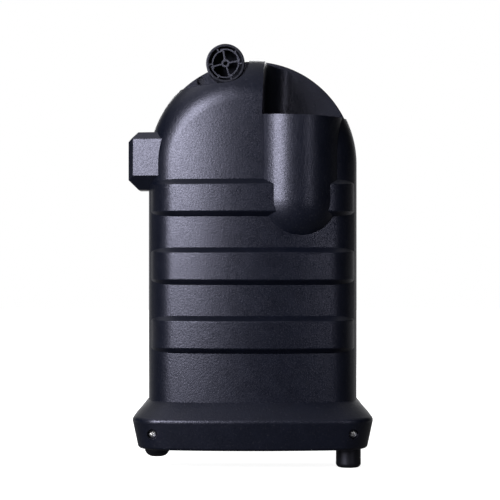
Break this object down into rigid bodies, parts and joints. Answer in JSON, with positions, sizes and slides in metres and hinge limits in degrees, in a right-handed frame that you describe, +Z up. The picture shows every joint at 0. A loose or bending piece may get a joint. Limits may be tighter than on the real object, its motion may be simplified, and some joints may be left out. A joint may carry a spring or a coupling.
{
  "type": "wave maker pump",
  "caption": "Arch-topped box wave maker pump with raised bands, a motor pocket, a vent dial, a flared skirt and levelling feet, fixed by its flat back.",
  "frame": {"origin": "centre of the four mounting threads on the rear mounting plane", "axes": "+X to the right seen from the front, +Y out of the back towards the tank wall, +Z up"},
  "size_m": [0.2021, 0.0987, 0.3529],
  "materials": {
    "housing": "fine spark-eroded matte moulding, blue-black",
    "cover": "fine matte moulding, blue-black",
    "grating": "matte moulding",
    "vent": "satin moulding",
    "dial": "semi-gloss moulding",
    "foot": "matte moulding",
    "drive_plastic": "smooth moulding",
    "case": "grey moulding",
    "board": "solder mask",
    "component": "moulded electronic parts",
    "seal": "nitrile rubber",
    "stainless": "stainless steel",
    "motor_steel": "drawn stainless can",
    "laminations": "stacked sheet",
    "copper": "enamelled copper winding",
    "magnet": "coated magnet",
    "bearing": "polished bearing steel",
    "brass": "turned brass",
    "ceramic": "ground ceramic"
  },
  "bodies": {
    "housing_body": {"front_housing": "housing", "rear_gasket": "seal", "rear_cover": "cover", "rear_cover_screws": "stainless", "mount_inserts": "brass", "motor_can": "motor_steel", "motor_end_cap": "motor_steel", "upper_bearing": "bearing", "lower_bearing": "bearing", "motor_stator": "laminations", "stator_coils": "copper", "shaft_seal": "seal", "shaft_tube": "drive_plastic", "lower_bush": "ceramic", "propeller_duct": "drive_plastic", "duct_screws": "stainless", "base_grating": "grating", "grating_screws": "stainless", "foot_lock_screws": "stainless", "foot_inserts": "brass", "vent_barrel": "vent", "vent_pin": "stainless", "vent_seal": "seal", "vent_screws": "stainless", "cable_gland": "drive_plastic", "gland_locknut": "drive_plastic", "gland_cap": "drive_plastic", "gland_seal": "seal", "controller_case": "case", "case_lid": "case", "controller_board": "board", "board_components": "component", "case_screws": "stainless", "motor_clamp": "case", "clamp_screws": "stainless"},
    "drive_body": {"motor_rotor": "magnet", "drive_shaft": "stainless", "propeller": "drive_plastic", "propeller_nut": "brass"},
    "dial_body": {"vent_dial": "dial"},
    "foot_left_body": {"foot_left": "foot"},
    "foot_right_body": {"foot_right": "foot"}
  },
  "joints": [
    {"name": "drive_spin", "type": "hinge", "parent": "housing_body", "child": "drive_body", "pos_m": [0.0404, -0.053, -0.02], "axis": [0, 0, 1], "continuous": true},
    {"name": "dial_turn", "type": "hinge", "parent": "housing_body", "child": "dial_body", "pos_m": [-0.023, -0.03, 0.1504], "axis": [0, 1, 0], "range_deg": [0, 75]},
    {"name": "foot_left_height", "type": "slide", "parent": "housing_body", "child": "foot_left_body", "axis": [0, 0, 1], "range_m": [-0.01, 0]},
    {"name": "foot_right_height", "type": "slide", "parent": "housing_body", "child": "foot_right_body", "axis": [0, 0, 1], "range_m": [0, 0.0092]}
  ]
}
